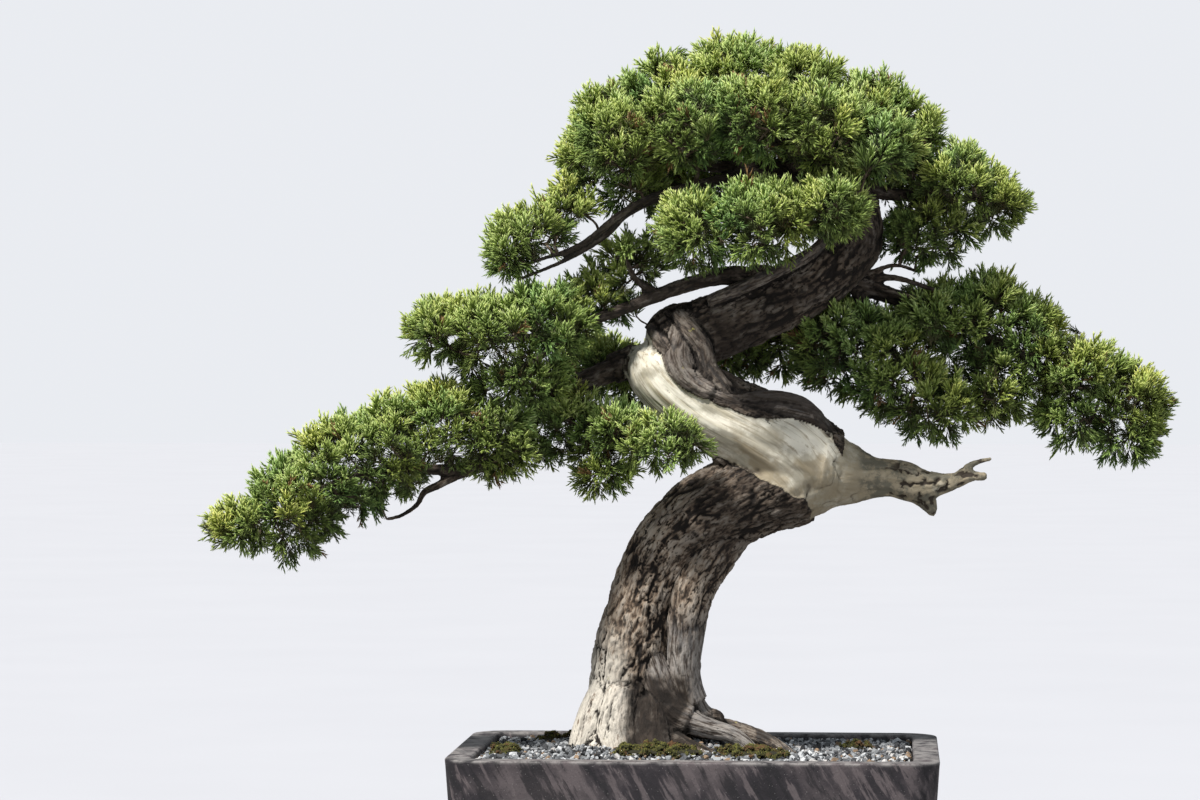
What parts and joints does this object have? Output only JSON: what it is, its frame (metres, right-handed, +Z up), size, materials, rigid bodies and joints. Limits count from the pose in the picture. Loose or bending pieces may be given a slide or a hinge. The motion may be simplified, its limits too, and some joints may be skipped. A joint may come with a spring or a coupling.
{
  "type": "bonsai tree in a pot",
  "caption": "Juniper bonsai with a leaning, partly bleached trunk and layered foliage pads, growing in gritty soil in a rectangular unglazed clay pot.",
  "frame": {"origin": "centre of the pot's footprint, on the surface that its feet stand on", "axes": "+Z up along the tree's height, +X to the right seen from the tree's front, -Y towards the front"},
  "size_m": [0.8226, 0.2902, 0.7347],
  "materials": {
    "fired_clay": "matte",
    "grit_soil": "matte",
    "juniper_wood": "matte",
    "juniper_foliage": "matte",
    "moss": "matte",
    "screen_plastic": "matte"
  },
  "bodies": {
    "root": {"pot": "fired_clay", "drain_screen_left": "screen_plastic", "drain_screen_right": "screen_plastic", "soil": "grit_soil", "moss_front": "moss", "moss_front_right": "moss", "moss_right": "moss", "moss_left": "moss", "moss_back": "moss", "moss_back_left": "moss", "tree_wood": "juniper_wood", "foliage_crown_top": "juniper_foliage", "foliage_crown_top_left": "juniper_foliage", "foliage_crown_top_right": "juniper_foliage", "foliage_crown_left": "juniper_foliage", "foliage_crown_right": "juniper_foliage", "foliage_crown_far_right": "juniper_foliage", "foliage_crown_front": "juniper_foliage", "foliage_crown_back": "juniper_foliage", "foliage_upper_left": "juniper_foliage", "foliage_left_middle": "juniper_foliage", "foliage_left_low": "juniper_foliage", "foliage_left_inner": "juniper_foliage", "foliage_left_back": "juniper_foliage", "foliage_right_inner": "juniper_foliage", "foliage_right_middle": "juniper_foliage", "foliage_right_tip": "juniper_foliage", "foliage_back_low": "juniper_foliage"}
  },
  "joints": []
}
